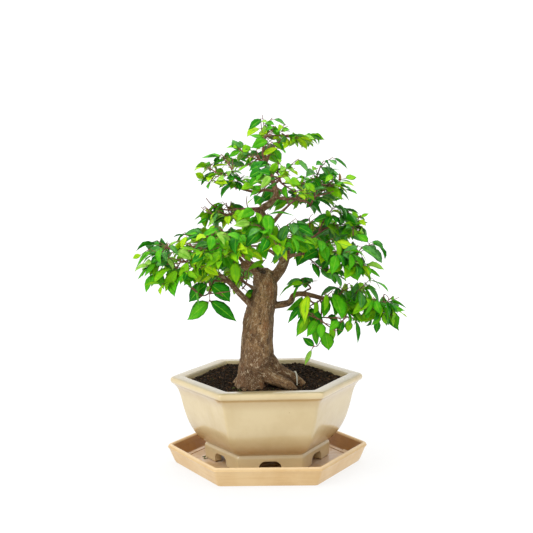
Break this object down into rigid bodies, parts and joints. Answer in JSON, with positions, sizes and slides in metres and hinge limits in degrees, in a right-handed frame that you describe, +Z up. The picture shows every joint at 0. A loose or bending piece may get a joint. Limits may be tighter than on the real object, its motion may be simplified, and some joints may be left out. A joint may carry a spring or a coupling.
{
  "type": "potted jaboticaba bonsai",
  "caption": "Small gnarled bonsai tree with tiered leafy boughs, planted in a six-sided glazed pot that stands in a matching drip tray.",
  "frame": {"origin": "middle of the drip tray's flat underside, on the surface that it stands on", "axes": "+Z up along the pot's axis; +X towards the right-hand corner of the pot; -Y is the front, the side with the widest view of the trunk"},
  "size_m": [0.403, 0.3009, 0.4835],
  "materials": {
    "pot_glaze": "glossy cream glaze, browner where it pools",
    "tray_glaze": "satin peach-cream glaze",
    "soil": "loose dark potting soil",
    "bark": "rough brown bark with paler flecks",
    "foliage": "glossy green leaves on fine twigs",
    "tie": "pale coated wire"
  },
  "bodies": {
    "root": {"back_left_foliage": "foliage", "back_low_foliage": "foliage", "back_right_foliage": "foliage", "back_top_foliage": "foliage", "back_upper_foliage": "foliage", "bough_back_left": "bark", "bough_back_low": "bark", "bough_back_right": "bark", "bough_back_top": "bark", "bough_back_upper": "bark", "bough_centre_front": "bark", "bough_centre_upper": "bark", "bough_front_left": "bark", "bough_left_back": "bark", "bough_left_hang": "bark", "bough_left_low": "bark", "bough_left_mid": "bark", "bough_left_upper": "bark", "bough_right_hang": "bark", "bough_right_inner": "bark", "bough_right_low": "bark", "bough_right_mid": "bark", "bough_right_mid_low": "bark", "bough_right_upper": "bark", "bough_top_right": "bark", "centre_front_foliage": "foliage", "centre_upper_foliage": "foliage", "front_left_foliage": "foliage", "leader": "bark", "leader_foliage": "foliage", "left_back_foliage": "foliage", "left_hang_foliage": "foliage", "left_low_foliage": "foliage", "left_mid_foliage": "foliage", "left_upper_foliage": "foliage", "pot": "pot_glaze", "right_hang_foliage": "foliage", "right_inner_foliage": "foliage", "right_low_foliage": "foliage", "right_mid_foliage": "foliage", "right_mid_low_foliage": "foliage", "right_upper_foliage": "foliage", "root_tie": "tie", "soil": "soil", "top_right_foliage": "foliage", "tray": "tray_glaze", "trunk": "bark"}
  },
  "joints": []
}
